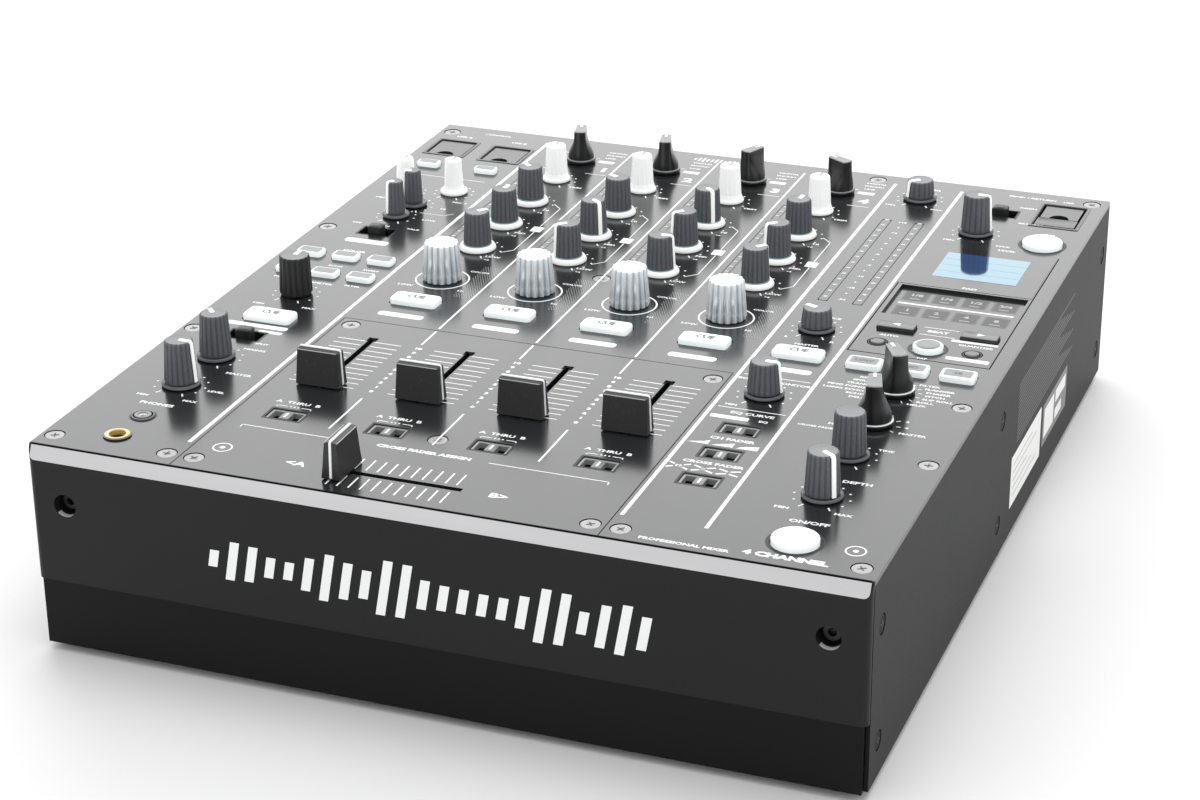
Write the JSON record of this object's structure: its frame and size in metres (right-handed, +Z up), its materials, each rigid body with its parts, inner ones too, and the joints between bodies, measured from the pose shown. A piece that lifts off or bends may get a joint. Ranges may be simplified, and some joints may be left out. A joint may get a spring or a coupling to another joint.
{
  "type": "dj mixer",
  "caption": "Table-top audio mixer for disc jockeys: fader strips, rotary equaliser knobs, lit cue buttons, level meters, effects section and rear sockets.",
  "frame": {"origin": "middle of the footprint, at the bottom of the feet", "axes": "+Z up, +X to the player's right, +Y towards the rear sockets"},
  "size_m": [0.333, 0.414, 0.1079],
  "materials": {
    "chassis_black": "black powder coat",
    "side_black": "matt dark grey paint",
    "front_black": "satin black paint",
    "panel_black": "fine brushed, satin clear coat",
    "screw_steel": "zinc plated",
    "rubber": "matt",
    "board_green": "solder mask",
    "control_steel": "plated",
    "connector_metal": "nickel plated",
    "display_glass": "backlit lens",
    "button_white": "translucent white",
    "switch_grey": "moulded",
    "cover_black": "moulded",
    "switch_black": "moulded",
    "fader_black": "moulded, white line",
    "knob_black": "soft grip, fine flutes",
    "knob_white": "moulded, fine flutes",
    "knob_silver": "turned, deep flutes",
    "selector_black": "moulded"
  },
  "bodies": {
    "casing": {"bottom_chassis": "chassis_black", "side_panels": "side_black", "front_panel": "front_black", "rear_panel": "chassis_black", "control_panel": "panel_black", "fader_panel": "panel_black", "screws": "screw_steel", "feet": "rubber", "circuit_boards": "board_green", "control_units": "control_steel", "connectors": "connector_metal", "display": "display_glass"},
    "knob_phones_level": {"knob_phones_level": "knob_black"},
    "knob_phones_mix": {"knob_phones_mix": "knob_black"},
    "knob_color_parameter": {"knob_color_parameter": "knob_black"},
    "knob_mic_low": {"knob_mic_low": "knob_black"},
    "knob_mic_high": {"knob_mic_high": "knob_black"},
    "knob_mic_1": {"knob_mic_1": "knob_white"},
    "knob_mic_2": {"knob_mic_2": "knob_white"},
    "knob_master_level": {"knob_master_level": "knob_black"},
    "knob_master_balance": {"knob_master_balance": "knob_black"},
    "knob_booth": {"knob_booth": "knob_black"},
    "knob_send_level": {"knob_send_level": "knob_black"},
    "selector_beat": {"selector_beat": "selector_black"},
    "selector_effect_channel": {"selector_effect_channel": "selector_black"},
    "knob_effect_time": {"knob_effect_time": "knob_black"},
    "knob_effect_depth": {"knob_effect_depth": "knob_black"},
    "selector_input_1": {"selector_input_1": "selector_black"},
    "knob_trim_1": {"knob_trim_1": "knob_white"},
    "knob_high_1": {"knob_high_1": "knob_black"},
    "knob_mid_1": {"knob_mid_1": "knob_black"},
    "knob_low_1": {"knob_low_1": "knob_black"},
    "knob_color_1": {"knob_color_1": "knob_silver"},
    "selector_input_2": {"selector_input_2": "selector_black"},
    "knob_trim_2": {"knob_trim_2": "knob_white"},
    "knob_high_2": {"knob_high_2": "knob_black"},
    "knob_mid_2": {"knob_mid_2": "knob_black"},
    "knob_low_2": {"knob_low_2": "knob_black"},
    "knob_color_2": {"knob_color_2": "knob_silver"},
    "selector_input_3": {"selector_input_3": "selector_black"},
    "knob_trim_3": {"knob_trim_3": "knob_white"},
    "knob_high_3": {"knob_high_3": "knob_black"},
    "knob_mid_3": {"knob_mid_3": "knob_black"},
    "knob_low_3": {"knob_low_3": "knob_black"},
    "knob_color_3": {"knob_color_3": "knob_silver"},
    "selector_input_4": {"selector_input_4": "selector_black"},
    "knob_trim_4": {"knob_trim_4": "knob_white"},
    "knob_high_4": {"knob_high_4": "knob_black"},
    "knob_mid_4": {"knob_mid_4": "knob_black"},
    "knob_low_4": {"knob_low_4": "knob_black"},
    "knob_color_4": {"knob_color_4": "knob_silver"},
    "channel_fader_1": {"channel_fader_1": "fader_black"},
    "channel_fader_2": {"channel_fader_2": "fader_black"},
    "channel_fader_3": {"channel_fader_3": "fader_black"},
    "channel_fader_4": {"channel_fader_4": "fader_black"},
    "crossfader": {"crossfader": "fader_black"},
    "push_buttons": {"push_buttons": "button_white"},
    "slide_switches": {"slide_switches": "switch_grey"},
    "usb_covers": {"usb_covers": "cover_black"},
    "power_switch": {"power_switch": "switch_black"}
  },
  "joints": [
    {"name": "knob_phones_level_turn", "type": "hinge", "parent": "casing", "child": "knob_phones_level", "pos_m": [-0.138, -0.136, 0.0882], "axis": [0, 0, 1], "range_deg": [-59, 241]},
    {"name": "knob_phones_mix_turn", "type": "hinge", "parent": "casing", "child": "knob_phones_mix", "pos_m": [-0.138, -0.1065, 0.0882], "axis": [0, 0, 1], "range_deg": [-196, 104]},
    {"name": "knob_color_parameter_turn", "type": "hinge", "parent": "casing", "child": "knob_color_parameter", "pos_m": [-0.138, -0.0335, 0.0882], "axis": [0, 0, 1], "range_deg": [-148, 152]},
    {"name": "knob_mic_low_turn", "type": "hinge", "parent": "casing", "child": "knob_mic_low", "pos_m": [-0.1372, 0.0675, 0.0882], "axis": [0, 0, 1], "range_deg": [-290, 10]},
    {"name": "knob_mic_high_turn", "type": "hinge", "parent": "casing", "child": "knob_mic_high", "pos_m": [-0.1355, 0.0835, 0.0882], "axis": [0, 0, 1], "range_deg": [-265, 35]},
    {"name": "knob_mic_1_turn", "type": "hinge", "parent": "casing", "child": "knob_mic_1", "pos_m": [-0.1465, 0.0995, 0.0882], "axis": [0, 0, 1], "range_deg": [-150, 150]},
    {"name": "knob_mic_2_turn", "type": "hinge", "parent": "casing", "child": "knob_mic_2", "pos_m": [-0.1245, 0.105, 0.0882], "axis": [0, 0, 1], "range_deg": [-150, 150]},
    {"name": "knob_master_level_turn", "type": "hinge", "parent": "casing", "child": "knob_master_level", "pos_m": [0.083, 0.1695, 0.0882], "axis": [0, 0, 1], "range_deg": [-284, 16]},
    {"name": "knob_master_balance_turn", "type": "hinge", "parent": "casing", "child": "knob_master_balance", "pos_m": [0.083, 0.004, 0.0882], "axis": [0, 0, 1], "range_deg": [-218, 82]},
    {"name": "knob_booth_turn", "type": "hinge", "parent": "casing", "child": "knob_booth", "pos_m": [0.083, -0.0672, 0.0882], "axis": [0, 0, 1], "range_deg": [-60, 240]},
    {"name": "knob_send_level_turn", "type": "hinge", "parent": "casing", "child": "knob_send_level", "pos_m": [0.118, 0.135, 0.0882], "axis": [0, 0, 1], "range_deg": [-58, 242]},
    {"name": "selector_beat_turn", "type": "hinge", "parent": "casing", "child": "selector_beat", "pos_m": [0.1305, -0.047, 0.0882], "axis": [0, 0, 1], "range_deg": [-182, 118]},
    {"name": "selector_effect_channel_turn", "type": "hinge", "parent": "casing", "child": "selector_effect_channel", "pos_m": [0.1305, -0.0785, 0.0882], "axis": [0, 0, 1], "range_deg": [-134, 106]},
    {"name": "knob_effect_time_turn", "type": "hinge", "parent": "casing", "child": "knob_effect_time", "pos_m": [0.13, -0.11, 0.0882], "axis": [0, 0, 1], "range_deg": [-180, 120]},
    {"name": "knob_effect_depth_turn", "type": "hinge", "parent": "casing", "child": "knob_effect_depth", "pos_m": [0.1305, -0.1465, 0.0882], "axis": [0, 0, 1], "range_deg": [-25, 275]},
    {"name": "selector_input_1_turn", "type": "hinge", "parent": "casing", "child": "selector_input_1", "pos_m": [-0.0842, 0.166, 0.0882], "axis": [0, 0, 1], "range_deg": [-90, 60]},
    {"name": "knob_trim_1_turn", "type": "hinge", "parent": "casing", "child": "knob_trim_1", "pos_m": [-0.0857, 0.1375, 0.0882], "axis": [0, 0, 1], "range_deg": [-150, 150]},
    {"name": "knob_high_1_turn", "type": "hinge", "parent": "casing", "child": "knob_high_1", "pos_m": [-0.0857, 0.105, 0.0882], "axis": [0, 0, 1], "range_deg": [-200, 100]},
    {"name": "knob_mid_1_turn", "type": "hinge", "parent": "casing", "child": "knob_mid_1", "pos_m": [-0.0857, 0.0735, 0.0882], "axis": [0, 0, 1], "range_deg": [-147, 153]},
    {"name": "knob_low_1_turn", "type": "hinge", "parent": "casing", "child": "knob_low_1", "pos_m": [-0.0857, 0.042, 0.0882], "axis": [0, 0, 1], "range_deg": [-113, 187]},
    {"name": "knob_color_1_turn", "type": "hinge", "parent": "casing", "child": "knob_color_1", "pos_m": [-0.0857, 0.003, 0.0882], "axis": [0, 0, 1], "range_deg": [-150, 150]},
    {"name": "selector_input_2_turn", "type": "hinge", "parent": "casing", "child": "selector_input_2", "pos_m": [-0.041, 0.166, 0.0882], "axis": [0, 0, 1], "range_deg": [-90, 60]},
    {"name": "knob_trim_2_turn", "type": "hinge", "parent": "casing", "child": "knob_trim_2", "pos_m": [-0.0425, 0.1375, 0.0882], "axis": [0, 0, 1], "range_deg": [-150, 150]},
    {"name": "knob_high_2_turn", "type": "hinge", "parent": "casing", "child": "knob_high_2", "pos_m": [-0.0425, 0.105, 0.0882], "axis": [0, 0, 1], "range_deg": [-218, 82]},
    {"name": "knob_mid_2_turn", "type": "hinge", "parent": "casing", "child": "knob_mid_2", "pos_m": [-0.0425, 0.0735, 0.0882], "axis": [0, 0, 1], "range_deg": [-21, 279]},
    {"name": "knob_low_2_turn", "type": "hinge", "parent": "casing", "child": "knob_low_2", "pos_m": [-0.0425, 0.042, 0.0882], "axis": [0, 0, 1], "range_deg": [-284, 16]},
    {"name": "knob_color_2_turn", "type": "hinge", "parent": "casing", "child": "knob_color_2", "pos_m": [-0.0425, 0.003, 0.0882], "axis": [0, 0, 1], "range_deg": [-150, 150]},
    {"name": "selector_input_3_turn", "type": "hinge", "parent": "casing", "child": "selector_input_3", "pos_m": [0.0022, 0.166, 0.0882], "axis": [0, 0, 1], "range_deg": [-50, 100]},
    {"name": "knob_trim_3_turn", "type": "hinge", "parent": "casing", "child": "knob_trim_3", "pos_m": [0.0007, 0.1375, 0.0882], "axis": [0, 0, 1], "range_deg": [-150, 150]},
    {"name": "knob_high_3_turn", "type": "hinge", "parent": "casing", "child": "knob_high_3", "pos_m": [0.0007, 0.105, 0.0882], "axis": [0, 0, 1], "range_deg": [-14, 286]},
    {"name": "knob_mid_3_turn", "type": "hinge", "parent": "casing", "child": "knob_mid_3", "pos_m": [0.0007, 0.0735, 0.0882], "axis": [0, 0, 1], "range_deg": [-284, 16]},
    {"name": "knob_low_3_turn", "type": "hinge", "parent": "casing", "child": "knob_low_3", "pos_m": [0.0007, 0.042, 0.0882], "axis": [0, 0, 1], "range_deg": [-63, 237]},
    {"name": "knob_color_3_turn", "type": "hinge", "parent": "casing", "child": "knob_color_3", "pos_m": [0.0007, 0.003, 0.0882], "axis": [0, 0, 1], "range_deg": [-150, 150]},
    {"name": "selector_input_4_turn", "type": "hinge", "parent": "casing", "child": "selector_input_4", "pos_m": [0.0454, 0.166, 0.0882], "axis": [0, 0, 1], "range_deg": [-135, 15]},
    {"name": "knob_trim_4_turn", "type": "hinge", "parent": "casing", "child": "knob_trim_4", "pos_m": [0.0439, 0.1375, 0.0882], "axis": [0, 0, 1], "range_deg": [-150, 150]},
    {"name": "knob_high_4_turn", "type": "hinge", "parent": "casing", "child": "knob_high_4", "pos_m": [0.0439, 0.105, 0.0882], "axis": [0, 0, 1], "range_deg": [-145, 155]},
    {"name": "knob_mid_4_turn", "type": "hinge", "parent": "casing", "child": "knob_mid_4", "pos_m": [0.0439, 0.0735, 0.0882], "axis": [0, 0, 1], "range_deg": [-284, 16]},
    {"name": "knob_low_4_turn", "type": "hinge", "parent": "casing", "child": "knob_low_4", "pos_m": [0.0439, 0.042, 0.0882], "axis": [0, 0, 1], "range_deg": [-106, 194]},
    {"name": "knob_color_4_turn", "type": "hinge", "parent": "casing", "child": "knob_color_4", "pos_m": [0.0439, 0.003, 0.0882], "axis": [0, 0, 1], "range_deg": [-150, 150]},
    {"name": "channel_fader_1_slide", "type": "slide", "parent": "casing", "child": "channel_fader_1", "axis": [0, 1, 0], "range_m": [0, 0.045]},
    {"name": "channel_fader_2_slide", "type": "slide", "parent": "casing", "child": "channel_fader_2", "axis": [0, 1, 0], "range_m": [0, 0.045]},
    {"name": "channel_fader_3_slide", "type": "slide", "parent": "casing", "child": "channel_fader_3", "axis": [0, 1, 0], "range_m": [0, 0.045]},
    {"name": "channel_fader_4_slide", "type": "slide", "parent": "casing", "child": "channel_fader_4", "axis": [0, 1, 0], "range_m": [0, 0.045]},
    {"name": "crossfader_slide", "type": "slide", "parent": "casing", "child": "crossfader", "axis": [1, 0, 0], "range_m": [0, 0.045]},
    {"name": "buttons_press", "type": "slide", "parent": "casing", "child": "push_buttons", "axis": [0, 0, -1], "range_m": [0, 0.001], "stiffness_N_per_m": 400, "springref_m": -0.003},
    {"name": "switches_slide", "type": "slide", "parent": "casing", "child": "slide_switches", "axis": [1, 0, 0], "range_m": [-0.0035, 0.0035]},
    {"name": "covers_lift", "type": "slide", "parent": "casing", "child": "usb_covers", "axis": [0, 0, 1], "range_m": [0, 0.02]},
    {"name": "power_press", "type": "slide", "parent": "casing", "child": "power_switch", "axis": [0, -1, 0], "range_m": [0, 0.0025], "stiffness_N_per_m": 300, "springref_m": -0.002}
  ]
}
